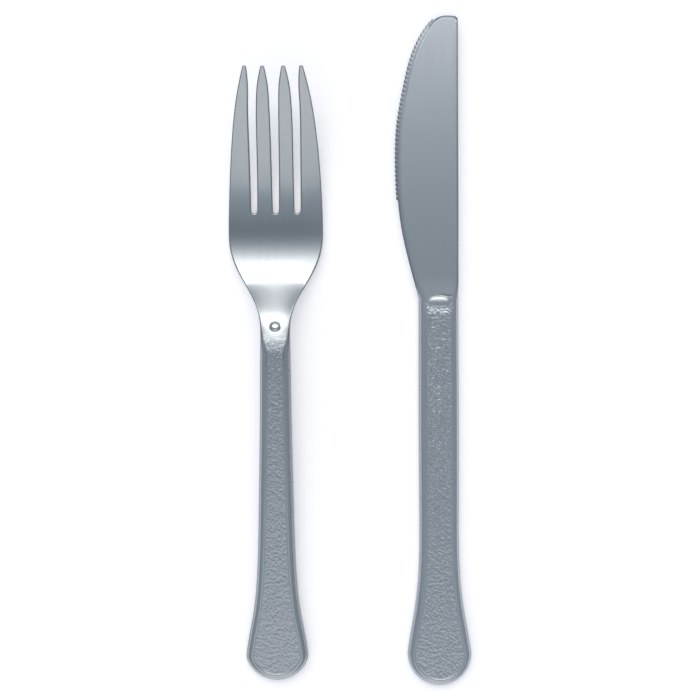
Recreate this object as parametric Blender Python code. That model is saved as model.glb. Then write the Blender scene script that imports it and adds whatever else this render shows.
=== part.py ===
"""Plastic cutlery set: a moulded fork and a moulded table knife, lying side by side, heads towards +Y.

Each is one solid. The handles are channels with a hollow back: a flat panel on top, a rounded
shoulder along both sides and round the end, and a rim that stands on the table. The fork is an
S-curve in side view, and rests on the end of its handle and on the belly of its head. The knife
lies flat on the rim of its handle, with its blade a little above the table.
Lengths are in millimetres until a mesh is made. The origin is on the table, under the middle of the pair.
"""
import math

import bmesh
import bpy
import numpy as np
from mathutils import Matrix

MM = 0.001

# ---- handles -------------------------------------------------------------------------------------
HANDLE_DEPTH = 4.2        # panel to rim
WEB = 1.6                 # thickness of the panel
RIM = 1.3                 # thickness of the side walls, where they meet the panel
SHOULDER_WIDTH = 2.0      # from the edge of the panel to the outline
SHOULDER_DROP = 2.3
DRAFT = 0.15              # lean of the walls of the hollow back
INSETS = (0.0, 0.12, 0.5, RIM - DRAFT, RIM, SHOULDER_WIDTH)    # rows of points inside the outline
ACROSS = 4                # steps across, between the innermost rows of the two sides

# ---- fork ----------------------------------------------------------------------------------------
FORK_X = -21.2            # centre line of the fork
PAIR_Y = 0.25             # moves both along, so that the origin is under the middle of the pair
FORK_TURN = math.radians(0.2)
FORK_LENGTH = 174.2
FORK_END = -95.1
FORK_TIP = FORK_END + FORK_LENGTH
FORK_END_RADIUS = 9.43
FORK_CORNER = 73.0        # degrees of the end arc on each side
# (distance along the fork, height of the top surface on the centre line)
FORK_RISE = ((-95.1, 4.2), (-62.0, 6.15), (-28.0, 8.25), (-10.0, 9.2), (-1.9, 9.34), (4.65, 8.64),
             (10.4, 7.24), (16.6, 4.92), (22.1, 3.22), (28.2, 2.235), (35.0, 1.9), (46.0, 3.1),
             (60.0, 7.3), (79.1, 15.8))
# (distance along the fork, half width)
FORK_WIDTH = ((-88.3, 9.02), (-83.3, 8.28), (-76.0, 6.92), (-63.0, 5.62), (-46.0, 5.07), (-12.0, 4.47),
              (2.0, 4.27), (9.6, 4.62), (15.4, 6.85), (21.2, 10.2), (28.5, 13.1), (36.0, 13.58),
              (48.5, 13.1), (64.7, 11.57), (72.4, 10.2), (78.4, 8.62))
FORK_DEPTH = ((-95.1, 4.2), (-5.0, 4.0), (10.0, 3.1), (24.0, 1.9), (50.0, 1.9), (79.1, 1.2))
FORK_DISH = 0.9           # how far the sides of the head stand above its middle
DISH_START = (8.0, 26.0)  # the dish comes in between these
DISH_LOSS = 0.45          # share of the dish that is gone at the tips
TINES_BEND = 40.0         # from where the dish is lost
HEAD_HALF = 13.58
HEAD_SHOULDER = 0.45      # edge rounding of the head, wide and deep
TO_HEAD = (-2.0, 22.0)    # the handle's shoulder turns into the head's edge between these
NECK_DISH = 0.6           # how far the neck's surface rises at NECK_HALF from its middle
NECK_HALF = 5.0
NECK_DISH_START = (3.0, 10.0)
NECK_DISH_END = (12.0, 19.0)
SLOT_PITCH = 6.25
SLOT_ROOT = 39.4          # bottom of the slots
SLOT_HALF = 0.9
SLOT_ROWS = 12            # steps along each side of a slot
SLOT_ROOT_STEPS = 9       # steps round its root
# (distance along the fork, half width of a slot)
MIDDLE_SLOT = ((40.3, 0.9), (47.0, 1.0), (56.0, 1.07), (64.7, 1.16), (69.9, 1.27), (75.0, 1.6), (78.5, 2.28))
OUTER_SLOT = ((40.3, 0.9), (47.0, 0.97), (56.0, 1.02), (64.7, 1.06), (69.9, 1.1), (75.0, 1.3), (78.5, 1.86))
# (distance along the fork, how far the outer slots have closed in on the middle one)
SLOT_DRIFT = ((40.3, 0.0), (57.0, 0.0), (69.9, 0.15), (75.0, 0.5), (79.1, 0.85))
TIP_RADIUS = 0.62
HOLLOW_END = (4.0, 13.0)  # the hollow back runs out between these, under the neck
CUT_HEIGHTS = (-3.0, 25.0)     # of the slots' cutters
CUT_PAST_TIP = 3.0
# rows of points along the fork: (start, end, number)
FORK_ROWS = ((-88.3, -60.0, 8), (-52.0, -4.0, 7), (0.0, 34.0, 16), (37.0, FORK_TIP - TIP_RADIUS, 13))
TIP_ROWS = (FORK_TIP - 0.3, FORK_TIP - 0.1, FORK_TIP)
NECK_BOSS = (3.7, 3.1, 0.9)    # length across, along and up, of the oval boss on the neck
NECK_BOSS_Y = 6.7
NECK_BOSS_STANDS = 0.36

# ---- knife ---------------------------------------------------------------------------------------
KNIFE_X = 25.65           # centre line of the handle. The knife's own lengths are from this line
KNIFE_TURN = math.radians(0.18)
KNIFE_END = -96.6
KNIFE_END_RADIUS = 9.2
SPINE_X = 5.7
BLADE_TIP = 96.1
BLADE_END = (1.85, BLADE_TIP)
BLADE_NOSE = ((-0.55, 95.3), (0.6, 95.85))      # between the cutting edge and the end of the blade
BOLSTER_Y = 15.4          # where the handle's outline ends and the blade's starts
TO_BLADE = (13.0, 20.4)   # the handle's section turns into the blade's between these
BLADE_TOP = 3.95
BLADE_THICK = 1.5
EDGE_THICK = 0.5
EDGE_BEVEL = 1.1
SPINE_RIB = 1.3           # width of the rib along the spine
SPINE_RIB_STANDS = 0.25
RIB_END = (84.0, 92.0)    # the rib runs out between these
END_BEVEL = (92.0, 95.0)  # the bevel comes in on the spine's side between these
# (distance along the knife, half width of the handle)
KNIFE_WIDTH = ((-87.4, 9.2), (-83.5, 8.62), (-76.2, 7.35), (-67.6, 6.25), (-58.0, 5.75), (-45.0, 5.72),
               (15.4, 5.72))
# (distance along the knife, cutting edge)
KNIFE_EDGE = ((15.4, -5.9), (28.5, -9.35), (38.0, -11.15), (45.0, -11.8), (55.0, -12.1), (65.9, -11.5),
              (74.5, -9.95), (83.2, -7.9), (88.9, -5.6), (92.4, -3.45), (94.6, -1.5))
TEETH_START = 42.9
TOOTH_PITCH = 1.3
TOOTH_DEPTH = 0.45
TEETH_STAND = 0.15        # how far the bottoms of the teeth stand out from the plain edge
TIP_CORNER = 1.2          # radius between the spine and the end of the blade
TIP_CORNER_BELOW = 0.1    # from the corner's arc to the end of the blade
TIP_CORNER_ANGLES = (30, 70)
BOLSTER_BOSS = (6.2, 3.1, 1.6)
BOLSTER_BOSS_Y = 13.85
BOLSTER_BOSS_STANDS = 0.36
# rows of points along the knife: (start, end, number)
HANDLE_ROWS = ((KNIFE_WIDTH[0][0], -58.0, 7), (-48.0, 6.0, 5))
BOLSTER_ROWS = (11.5, 13.0, 13.9, 14.3, BOLSTER_Y)
THROAT_ROWS = ((16.6, TO_BLADE[1], 4), (23.0, TEETH_START - 2, 7))
END_STEPS = 7             # points round half of a handle's end

# ---- meshes and finish ---------------------------------------------------------------------------
WELD = 0.002              # points closer together than this are one
SHARP_ANGLE = math.radians(35)
BOSS_SEGMENTS = 20
BOSS_RINGS = 12
PIGMENT = 0.6             # metallic share of the plastic's finish


def spline(knots, at):
    """Natural cubic spline through (position, value) knots, read at one or more positions."""
    x, y = np.array(knots, float).T
    step = np.diff(x)
    system = np.eye(len(x))
    right = np.zeros(len(x))
    for i in range(1, len(x) - 1):
        system[i, i - 1:i + 2] = step[i - 1], 2 * (step[i - 1] + step[i]), step[i]
        right[i] = 6 * ((y[i + 1] - y[i]) / step[i] - (y[i] - y[i - 1]) / step[i - 1])
    bend = np.linalg.solve(system, right)
    i = np.clip(np.searchsorted(x, at) - 1, 0, len(x) - 2)
    a = (x[i + 1] - at) / step[i]
    b = 1 - a
    curl = ((a ** 3 - a) * bend[i] + (b ** 3 - b) * bend[i + 1]) * step[i] ** 2 / 6
    return a * y[i] + b * y[i + 1] + curl


def fade(start, end, at):
    """Smooth step from 0 at start to 1 at end."""
    t = np.clip((at - start) / (end - start), 0, 1)
    return t * t * (3 - 2 * t)


def shoulder(inset, width, drop):
    """Fall of a quarter-ellipse edge at a distance inside the outline."""
    t = np.clip(1 - inset / width, 0, 1)
    return drop * (1 - np.sqrt(1 - t * t))


class Side:
    """One side of a plan outline, from the middle of the handle end to the tip, with directions to the inside.

    Points past a pivot have their insets run towards it, so that they don't cross in a tight corner.
    """

    def __init__(self, points, hand, pivot=None):
        self.points = np.array(points, float)
        run = np.gradient(self.points, axis=0)
        run /= np.linalg.norm(run, axis=1)[:, None]
        self.inwards = hand * np.stack([-run[:, 1], run[:, 0]], axis=1)
        self.inwards[0] = 0, 1
        if pivot is not None:
            past = self.points[:, 1] > pivot[1]
            self.inwards[past] = (np.array(pivot) - self.points[past]) / SHOULDER_WIDTH

    def inset(self, distance):
        """The line of points moved in by a distance."""
        return self.points + distance * self.inwards


def plan_rows(left, right, insets, across):
    """Rows of plan points between two sides, and how far each column is inside the outline."""
    from_left = [left.inset(d) for d in insets]
    from_right = [right.inset(d) for d in reversed(insets)]
    shares = np.linspace(0, 1, across + 1)[1:-1]
    middle = [from_left[-1] * (1 - s) + from_right[0] * s for s in shares]
    inset = [*insets, *[insets[-1]] * len(middle), *reversed(insets)]
    return np.stack([*from_left, *middle, *from_right], axis=1), np.array(inset)


def new_object(name, mesh, collection):
    """Object of a mesh, linked to a collection."""
    obj = bpy.data.objects.new(name, mesh)
    collection.objects.link(obj)
    return obj


def solid_between(name, plan, top, bottom, collection, closed_tip=False):
    """Closed solid lofted between a top and an underside over the same rows of plan points.

    The two sides meet in the first row, which is folded on itself and welded shut. The last row is
    folded too on a closed tip, and else takes an end wall.
    """
    rows, columns = top.shape
    bm = bmesh.new()
    sheets = []
    for height in (top, bottom):
        points = np.dstack([plan, height]) * MM
        sheets.append([[bm.verts.new(p) for p in row] for row in points])
    upper, lower = sheets
    for r in range(rows - 1):
        for c in range(columns - 1):
            bm.faces.new((upper[r][c], upper[r][c + 1], upper[r + 1][c + 1], upper[r + 1][c]))
            bm.faces.new((lower[r][c], lower[r + 1][c], lower[r + 1][c + 1], lower[r][c + 1]))
        for c, turn in ((0, 1), (columns - 1, -1)):
            wall = (upper[r][c], upper[r + 1][c], lower[r + 1][c], lower[r][c])
            bm.faces.new(wall[::turn])
    if not closed_tip:
        for c in range(columns - 1):
            bm.faces.new((upper[-1][c], upper[-1][c + 1], lower[-1][c + 1], lower[-1][c]))
    bmesh.ops.remove_doubles(bm, verts=bm.verts, dist=WELD * MM)
    bmesh.ops.dissolve_degenerate(bm, edges=bm.edges, dist=WELD * MM)
    bmesh.ops.recalc_face_normals(bm, faces=bm.faces)
    mesh = bpy.data.meshes.new(name)
    bm.to_mesh(mesh)
    bm.free()
    mesh.shade_smooth()
    mesh.set_sharp_from_angle(angle=SHARP_ANGLE)
    return new_object(name, mesh, collection)


def prism(name, outline, low, high, collection):
    """Solid of a flat outline between two heights, from a filled 2D curve."""
    curve = bpy.data.curves.new(name, "CURVE")
    curve.dimensions = "2D"
    curve.fill_mode = "BOTH"
    curve.extrude = (high - low) / 2 * MM
    line = curve.splines.new("POLY")
    line.use_cyclic_u = True
    line.points.add(len(outline) - 1)
    for point, (x, y) in zip(line.points, outline):
        point.co = (x * MM, y * MM, 0, 1)
    rough = new_object(name + "_curve", curve, collection)
    rough.location.z = (low + high) / 2 * MM
    bpy.context.view_layer.update()
    mesh = bpy.data.meshes.new_from_object(rough.evaluated_get(bpy.context.evaluated_depsgraph_get()))
    bm = bmesh.new()
    bm.from_mesh(mesh)
    bmesh.ops.remove_doubles(bm, verts=bm.verts, dist=WELD * MM)
    bmesh.ops.recalc_face_normals(bm, faces=bm.faces)
    bm.to_mesh(mesh)
    bm.free()
    solid = new_object(name, mesh, collection)
    solid.matrix_world = rough.matrix_world
    bpy.data.objects.remove(rough)
    return solid


def dome(name, size, place, collection):
    """Ellipsoid of a given size, for a boss."""
    bpy.ops.mesh.primitive_uv_sphere_add(segments=BOSS_SEGMENTS, ring_count=BOSS_RINGS, radius=0.5)
    obj = bpy.context.object
    obj.name = name
    obj.data.transform(Matrix.Diagonal((size[0] * MM, size[1] * MM, size[2] * MM, 1)))
    obj.location = [v * MM for v in place]
    for owner in list(obj.users_collection):
        owner.objects.unlink(obj)
    collection.objects.link(obj)
    return obj


def boolean(obj, cutter, operation):
    """Boolean modifier on an object, with its partner kept out of sight."""
    cutter.hide_render = True
    cutter.display_type = "WIRE"
    modifier = obj.modifiers.new(cutter.name, "BOOLEAN")
    modifier.operation = operation
    modifier.object = cutter


def plastic(name, colour, roughness):
    """Silver-grey plastic with a metallic pigment."""
    material = bpy.data.materials.new(name)
    material.use_nodes = True
    shader = material.node_tree.nodes["Principled BSDF"]
    shader.inputs["Base Color"].default_value = (*colour, 1)
    shader.inputs["Roughness"].default_value = roughness
    shader.inputs["Metallic"].default_value = PIGMENT
    return material


def stations(rows):
    """Positions of rows of points, from (start, end, number) runs."""
    return np.concatenate([np.linspace(*run) for run in rows])


def end_arc(end_y, radius, degrees, hand):
    """Points of a handle's round end, from its middle towards one side."""
    angles = np.radians(np.linspace(0, degrees, END_STEPS + 1)[:-1])
    return [(hand * radius * math.sin(a), end_y + radius * (1 - math.cos(a))) for a in angles]


def fork_half_width(y):
    """Half width of the fork, with the outer tines rounded at their tips."""
    to_tip = np.clip(TIP_RADIUS - (FORK_TIP - y), 0, TIP_RADIUS)
    rounding = TIP_RADIUS - np.sqrt(TIP_RADIUS ** 2 - to_tip ** 2)
    return spline(FORK_WIDTH, np.minimum(y, FORK_TIP - TIP_RADIUS)) - rounding


def fork_height(x, y):
    """Height of the fork's top surface, before its edges are rounded."""
    dish = FORK_DISH * fade(*DISH_START, y) * (1 - DISH_LOSS * fade(TINES_BEND, FORK_TIP, y))
    neck = NECK_DISH * fade(*NECK_DISH_START, y) * (1 - fade(*NECK_DISH_END, y))
    return spline(FORK_RISE, y) + dish * (x / HEAD_HALF) ** 2 + neck * (x / NECK_HALF) ** 2


def fork_side(hand):
    """One side of the fork's outline, up to the tips of the tines."""
    sides = [(hand * float(fork_half_width(y)), y) for y in [*stations(FORK_ROWS), *TIP_ROWS]]
    side = Side(end_arc(FORK_END, FORK_END_RADIUS, FORK_CORNER, hand) + sides, hand)
    side.inwards[side.points[:, 1] > FORK_TIP - 2 * TIP_RADIUS] = -hand, 0
    return side


def slot_outline(middle, drift, flare):
    """Outline of the gap between two tines: a round root, nearly parallel sides, and a flare to the tips.

    middle is the slot's place at its root, drift says how far it leans to the centre line by the tips,
    and flare gives its half width.
    """
    root_y = SLOT_ROOT + SLOT_HALF
    arc = np.linspace(math.pi, 2 * math.pi, SLOT_ROOT_STEPS + 1)
    root = [(middle + SLOT_HALF * math.cos(a), root_y + SLOT_HALF * math.sin(a)) for a in arc]
    straight = FORK_TIP - TIP_RADIUS
    sides = []
    for y in [*np.linspace(root_y, straight, SLOT_ROWS + 1)[1:], *TIP_ROWS]:
        past = min(max(0.0, y - straight), TIP_RADIUS)
        rounding = TIP_RADIUS - math.sqrt(TIP_RADIUS ** 2 - past ** 2)
        half = float(spline(flare, min(y, straight))) + rounding
        sides.append((middle - drift * float(spline(SLOT_DRIFT, y)), y, half))
    top = (sides[-1][0], FORK_TIP + CUT_PAST_TIP, sides[-1][2])
    right = [(x + half, y) for x, y, half in [*sides, top]]
    left = [(x - half, y) for x, y, half in [*sides, top]]
    return [*root, *right, *reversed(left)]


def build_fork(collection, cutters):
    """The fork, with its hollow back, slots and boss."""
    left, right = fork_side(-1), fork_side(1)
    plan, inset = plan_rows(left, right, INSETS, ACROSS)
    x, y = plan[:, :, 0], plan[:, :, 1]
    to_head = fade(*TO_HEAD, y)
    width = SHOULDER_WIDTH + (HEAD_SHOULDER - SHOULDER_WIDTH) * to_head
    drop = SHOULDER_DROP + (HEAD_SHOULDER - SHOULDER_DROP) * to_head
    surface = fork_height(x, y)
    top = surface - shoulder(inset[None, :], width, drop)
    depth = spline(FORK_DEPTH, y)
    hollow = (depth - WEB) * (1 - fade(*HOLLOW_END, y)) * (inset >= RIM)
    fork = solid_between("fork", plan, top, surface - depth + hollow, collection)

    for name, place, flare in (("left", -1, OUTER_SLOT), ("middle", 0, MIDDLE_SLOT), ("right", 1, OUTER_SLOT)):
        outline = slot_outline(place * SLOT_PITCH, place, flare)
        boolean(fork, prism("slot_" + name, outline, *CUT_HEIGHTS, cutters), "DIFFERENCE")

    boss_z = float(fork_height(0, NECK_BOSS_Y)) + NECK_BOSS_STANDS - NECK_BOSS[2] / 2
    boss = dome("neck_boss", NECK_BOSS, (0, NECK_BOSS_Y, boss_z), cutters)
    slope = (fork_height(0, NECK_BOSS_Y + 1) - fork_height(0, NECK_BOSS_Y - 1)) / 2
    boss.rotation_euler.x = math.atan(float(slope))
    boolean(fork, boss, "UNION")
    return fork


def blade_corner(hand):
    """Last points of the knife's outline on one side: the end of the blade."""
    if hand < 0:
        return [*BLADE_NOSE, BLADE_END]
    centre = (SPINE_X - TIP_CORNER, BLADE_TIP - TIP_CORNER_BELOW - TIP_CORNER)
    arc = [(centre[0] + TIP_CORNER * math.cos(a), centre[1] + TIP_CORNER * math.sin(a))
           for a in np.radians(TIP_CORNER_ANGLES)]
    return [*arc, BLADE_END]


def teeth_rows():
    """Stations of the serrated edge, half a tooth apart along the edge."""
    fine = np.linspace(TEETH_START, KNIFE_EDGE[-1][0], 400)
    edge = spline(KNIFE_EDGE, fine)
    along = np.concatenate([[0], np.cumsum(np.hypot(np.diff(fine), np.diff(edge)))])
    halves = int(along[-1] / TOOTH_PITCH) * 2
    return np.interp(np.linspace(0, along[-1], halves + 1), along, fine)


def build_knife(collection, cutters):
    """The knife, with its hollow back, toothed blade and boss."""
    handle = [*stations(HANDLE_ROWS), *BOLSTER_ROWS]
    throat = stations(THROAT_ROWS)
    teeth = teeth_rows()
    sides = {}
    for hand in (-1, 1):
        line = end_arc(KNIFE_END, KNIFE_END_RADIUS, 90, hand)
        line += [(hand * float(spline(KNIFE_WIDTH, y)), y) for y in handle]
        for y in [*throat, *teeth]:
            line.append((float(spline(KNIFE_EDGE, y)) if hand < 0 else SPINE_X, y))
        pivot = (SPINE_X - SHOULDER_WIDTH, BLADE_TIP - SHOULDER_WIDTH) if hand > 0 else None
        sides[hand] = Side(line + blade_corner(hand), hand, pivot)
        sides[hand].inwards[-1] = 0, -1
    plan, inset = plan_rows(sides[-1], sides[1], INSETS, 2)

    first_tooth = END_STEPS + len(handle) + len(throat)
    for row in range(first_tooth + 1, first_tooth + len(teeth), 2):
        plan[row, 0] -= TOOTH_DEPTH * sides[-1].inwards[row]
    toothed = slice(first_tooth, first_tooth + len(teeth))
    plan[toothed, 0] -= TEETH_STAND * sides[-1].inwards[toothed]

    x, y = plan[:, :, 0], plan[:, :, 1]
    to_blade = fade(*TO_BLADE, y)
    handle_top = HANDLE_DEPTH - shoulder(inset[None, :], SHOULDER_WIDTH, SHOULDER_DROP)
    spine_side = np.arange(len(inset)) > len(inset) // 2
    bevel = (BLADE_THICK - EDGE_THICK) / 2 * np.clip(1 - inset / EDGE_BEVEL, 0, 1)
    bevel = bevel * np.where(spine_side, fade(*END_BEVEL, y), 1)
    rib = np.where(spine_side & (inset < SPINE_RIB), SPINE_RIB_STANDS, 0) * (1 - fade(*RIB_END, y))
    top = handle_top * (1 - to_blade) + (BLADE_TOP - bevel + rib) * to_blade
    hollow = (HANDLE_DEPTH - WEB) * (inset >= RIM) * (y < BOLSTER_Y - RIM)
    bottom = hollow + (BLADE_TOP - BLADE_THICK + bevel - rib) * to_blade
    knife = solid_between("knife", plan, top, bottom, collection, closed_tip=True)

    boss_z = HANDLE_DEPTH + BOLSTER_BOSS_STANDS - BOLSTER_BOSS[2] / 2
    boss = dome("bolster_boss", BOLSTER_BOSS, (0, BOLSTER_BOSS_Y, boss_z), cutters)
    boolean(knife, boss, "UNION")
    return knife


def main():
    """Clear the scene and model the pair."""
    for obj in list(bpy.data.objects):
        bpy.data.objects.remove(obj)
    pieces = bpy.data.collections.new("plastic_cutlery")
    cutters = bpy.data.collections.new("cutters")
    for collection in (pieces, cutters):
        bpy.context.scene.collection.children.link(collection)
    fork = build_fork(pieces, cutters)
    knife = build_knife(pieces, cutters)
    fork.data.materials.append(plastic("fork_plastic", (0.33, 0.37, 0.42), 0.3))
    knife.data.materials.append(plastic("knife_plastic", (0.35, 0.39, 0.43), 0.32))
    for piece, x, turn in ((fork, FORK_X, FORK_TURN), (knife, KNIFE_X, KNIFE_TURN)):
        piece.location = x * MM, PAIR_Y * MM, 0
        piece.rotation_euler.z = turn
        for modifier in piece.modifiers:
            modifier.object.parent = piece


main()
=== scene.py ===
"""Looks of a plastic cutlery set: a moulded fork and a moulded table knife, side by side on a pale table.

Each piece is one smooth moulding that stands for its solid in the frame. A moulding is a closed outline
with rows of points inside it, which round its edges, and a filled face between the innermost rows.
Lengths are in millimetres until a mesh is made.
"""

import logging
import math
from dataclasses import dataclass
from enum import Enum

import bpy
import numpy as np
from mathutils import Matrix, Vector, kdtree, noise
from mathutils.geometry import delaunay_2d_cdt


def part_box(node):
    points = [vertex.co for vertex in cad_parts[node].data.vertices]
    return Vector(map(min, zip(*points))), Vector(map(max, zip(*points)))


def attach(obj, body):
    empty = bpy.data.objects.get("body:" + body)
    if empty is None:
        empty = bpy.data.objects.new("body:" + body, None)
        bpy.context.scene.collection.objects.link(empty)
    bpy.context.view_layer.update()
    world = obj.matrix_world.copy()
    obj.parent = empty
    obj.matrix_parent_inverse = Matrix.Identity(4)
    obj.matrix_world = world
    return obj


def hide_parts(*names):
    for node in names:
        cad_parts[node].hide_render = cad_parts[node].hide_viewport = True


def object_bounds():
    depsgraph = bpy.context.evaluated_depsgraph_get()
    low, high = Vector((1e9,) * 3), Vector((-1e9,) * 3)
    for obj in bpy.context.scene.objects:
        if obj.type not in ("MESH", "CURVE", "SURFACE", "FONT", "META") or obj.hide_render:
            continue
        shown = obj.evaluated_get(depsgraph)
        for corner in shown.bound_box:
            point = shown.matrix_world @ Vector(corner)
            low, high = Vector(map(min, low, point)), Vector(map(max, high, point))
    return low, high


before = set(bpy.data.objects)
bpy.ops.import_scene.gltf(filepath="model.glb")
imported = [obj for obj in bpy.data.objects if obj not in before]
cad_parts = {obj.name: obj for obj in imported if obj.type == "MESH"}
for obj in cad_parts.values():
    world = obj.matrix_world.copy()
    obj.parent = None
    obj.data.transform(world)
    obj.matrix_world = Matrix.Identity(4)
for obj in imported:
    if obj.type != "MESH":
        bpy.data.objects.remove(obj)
CAD_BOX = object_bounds()

MM = 0.001
LOG = logging.getLogger("cutlery")

Knots = tuple[tuple[float, ...], ...]

# how far a face's points keep from others, as shares of their spacing, and in millimetres for lines
PLAIN_OFF_LOOP = 0.45
PLAIN_OFF_FINE = 0.35
FINE_OFF_LOOP = 0.6
LINE_OFF_LOOP = 0.05
LEAST_PANEL = 0.01    # share that counts as on the panel


class BossForm(Enum):
    """Form of a boss."""

    BUTTON = "a flat oval with sloping sides"
    PILLOW = "flat on top, steep towards the handle and rounded towards the head"


class Face(Enum):
    """Face of a moulding: which way it looks."""

    TOP = 1
    UNDERSIDE = -1


# ---- curves ----
def spline(knots: Knots, at: np.ndarray) -> np.ndarray:
    """Natural cubic spline through knots.

    Args:
        knots: (position, value) pairs, in order of position.
        at: positions to read the spline at.

    Returns:
        The values there.
    """
    x, y = np.array(knots, float).T
    step = np.diff(x)
    system = np.eye(len(x))
    right = np.zeros(len(x))
    for i in range(1, len(x) - 1):
        system[i, i - 1:i + 2] = step[i - 1], 2 * (step[i - 1] + step[i]), step[i]
        right[i] = 6 * ((y[i + 1] - y[i]) / step[i] - (y[i] - y[i - 1]) / step[i - 1])
    bend = np.linalg.solve(system, right)
    i = np.clip(np.searchsorted(x, at) - 1, 0, len(x) - 2)
    a = (x[i + 1] - at) / step[i]
    b = 1 - a
    curl = ((a ** 3 - a) * bend[i] + (b ** 3 - b) * bend[i + 1]) * step[i] ** 2 / 6
    return a * y[i] + b * y[i + 1] + curl


def curve_through(points: Knots, spacing: float) -> np.ndarray:
    """Smooth plan curve through points.

    Args:
        points: plan points that the curve passes, in order.
        spacing: distance between the points made.

    Returns:
        Evenly spaced points on the curve, both ends included.
    """
    x, y = np.array(points, float).T
    along = np.concatenate([[0], np.cumsum(np.hypot(np.diff(x), np.diff(y)))])
    at = np.linspace(0, along[-1], max(2, int(along[-1] / spacing) + 1))
    return np.stack([spline(tuple(zip(along, x)), at), spline(tuple(zip(along, y)), at)], axis=1)


def fade(start: float, end: float, at: np.ndarray) -> np.ndarray:
    """Smooth step from 0 at start to 1 at end."""
    t = np.clip((at - start) / (end - start), 0, 1)
    return t * t * (3 - 2 * t)


def mix(a: np.ndarray, b: np.ndarray, share: np.ndarray) -> np.ndarray:
    """Blend from a to b by a share of b."""
    return a * (1 - share) + b * share


def stations(start: float, end: float, spacing: float) -> np.ndarray:
    """Evenly spaced values from start to end, both included."""
    return np.linspace(start, end, max(2, round(abs(end - start) / spacing) + 1))


def end_arc(end: float, radius: float, degrees: float, steps: int) -> np.ndarray:
    """Plan points of a handle's round end.

    Args:
        end: where the handle ends.
        radius: radius of the arc.
        degrees: how far round the arc goes.
        steps: steps along it.

    Returns:
        Points from the middle to the right, without the last one.
    """
    angles = np.radians(np.linspace(0, degrees, steps + 1)[:-1])
    return np.stack([radius * np.sin(angles), end + radius * (1 - np.cos(angles))], axis=1)


# ---- outlines and faces ----
@dataclass
class Outline:
    """Closed plan outline, anticlockwise, with a direction to the inside at each point."""

    points: np.ndarray
    inwards: np.ndarray

    @classmethod
    def of(cls, points: np.ndarray, closest: float = 0.09) -> "Outline":
        """Outline of a closed run of points.

        Args:
            points: plan points, anticlockwise.
            closest: points nearer than this to the one before are left out.

        Returns:
            The outline, with its inward directions.
        """
        gap = np.linalg.norm(points - np.roll(points, 1, axis=0), axis=1)
        points = points[gap > closest]
        ahead = np.roll(points, -1, axis=0) - points
        ahead /= np.linalg.norm(ahead, axis=1)[:, None]
        run = ahead + np.roll(ahead, 1, axis=0)
        run /= np.linalg.norm(run, axis=1)[:, None]
        return cls(points, np.stack([-run[:, 1], run[:, 0]], axis=1))

    def inset(self, distance: np.ndarray) -> np.ndarray:
        """The outline's points moved in by a distance each."""
        return self.points + distance[:, None] * self.inwards


def inside(loop: np.ndarray, points: np.ndarray) -> np.ndarray:
    """Which points are inside a closed loop, by counting crossings."""
    x, y = points.T
    within = np.zeros(len(points), bool)
    for (x0, y0), (x1, y1) in zip(loop, np.roll(loop, -1, axis=0)):
        if y0 != y1:
            crosses = ((y0 > y) != (y1 > y)) & (x < (x1 - x0) * (y - y0) / (y1 - y0) + x0)
            within ^= crosses
    return within


def clear_of(others: np.ndarray, points: np.ndarray, distance: float) -> np.ndarray:
    """The points that are at least a distance away from all of the others."""
    tree = kdtree.KDTree(len(others))
    for i, (x, y) in enumerate(others):
        tree.insert((x, y, 0), i)
    tree.balance()
    return points[[tree.find((x, y, 0))[2] >= distance for x, y in points]]


def fill(loop: np.ndarray, points: np.ndarray) -> tuple[np.ndarray, np.ndarray]:
    """Triangles inside a loop.

    Args:
        loop: plan points of the loop, anticlockwise.
        points: further plan points, inside it.

    Returns:
        All plan points, those of the loop first, and the triangles as rows of three indices.
    """
    every = np.concatenate([loop, points])
    edges = [(i, (i + 1) % len(loop)) for i in range(len(loop))]
    found = delaunay_2d_cdt([Vector(p) for p in every], edges, [], 1, 1e-6)
    source = [ids[0] for ids in found[3]]
    triangles = np.array([[source[i] for i in face] for face in found[2]])
    a, b, c = (every[triangles[:, i]] for i in range(3))
    turned = np.cross(b - a, c - a) < 0
    triangles[turned] = triangles[turned][:, ::-1]
    return every, triangles


@dataclass(frozen=True)
class Boss:
    """Low oval mark on a moulding's top. Its two halves may differ in length."""

    form: BossForm
    y: float
    half_across: float
    towards_handle: float
    towards_head: float
    stands: float
    flat: float = 0.34    # of a button, the share that is flat
    foot: tuple[float, float] = (0.97, 1.03)    # a pillow runs out here

    def along(self, y: np.ndarray) -> np.ndarray:
        """Distance along from the middle, -1 and 1 on the foot."""
        return np.where(y < self.y, (y - self.y) / self.towards_handle, (y - self.y) / self.towards_head)

    def radius(self, x: np.ndarray, y: np.ndarray) -> np.ndarray:
        """Distance from the middle, 1 on the foot of the boss."""
        return np.hypot(x / self.half_across, self.along(y))

    def height(self, x: np.ndarray, y: np.ndarray) -> np.ndarray:
        """How far the boss stands above its surroundings."""
        if self.form is BossForm.BUTTON:
            return self.stands * (1 - fade(self.flat, 1, self.radius(x, y)))
        v = self.along(y)
        fall = np.where(v < 0, v ** 6, v ** 2) + (x / self.half_across) ** 4
        return self.stands * np.sqrt(np.clip(1 - fall, 0, 1)) * (1 - fade(*self.foot, self.radius(x, y)))

    def points(self) -> np.ndarray:
        """Plan points in ovals over the boss, closer together near its foot."""
        shares = (0.12, 0.25, 0.38, 0.5, 0.6, 0.69, 0.77, 0.84, 0.9, 0.945, 0.975, 1.0, 1.03, 1.08)
        angles = np.linspace(0, 2 * math.pi, 61)[:-1]
        along = np.where(np.sin(angles) < 0, self.towards_handle, self.towards_head)
        rings = [
            np.stack([self.half_across * s * np.cos(angles), self.y + along * s * np.sin(angles)], axis=1)
            for s in shares
        ]
        return np.concatenate([[(0, self.y)], *rings])


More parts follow.
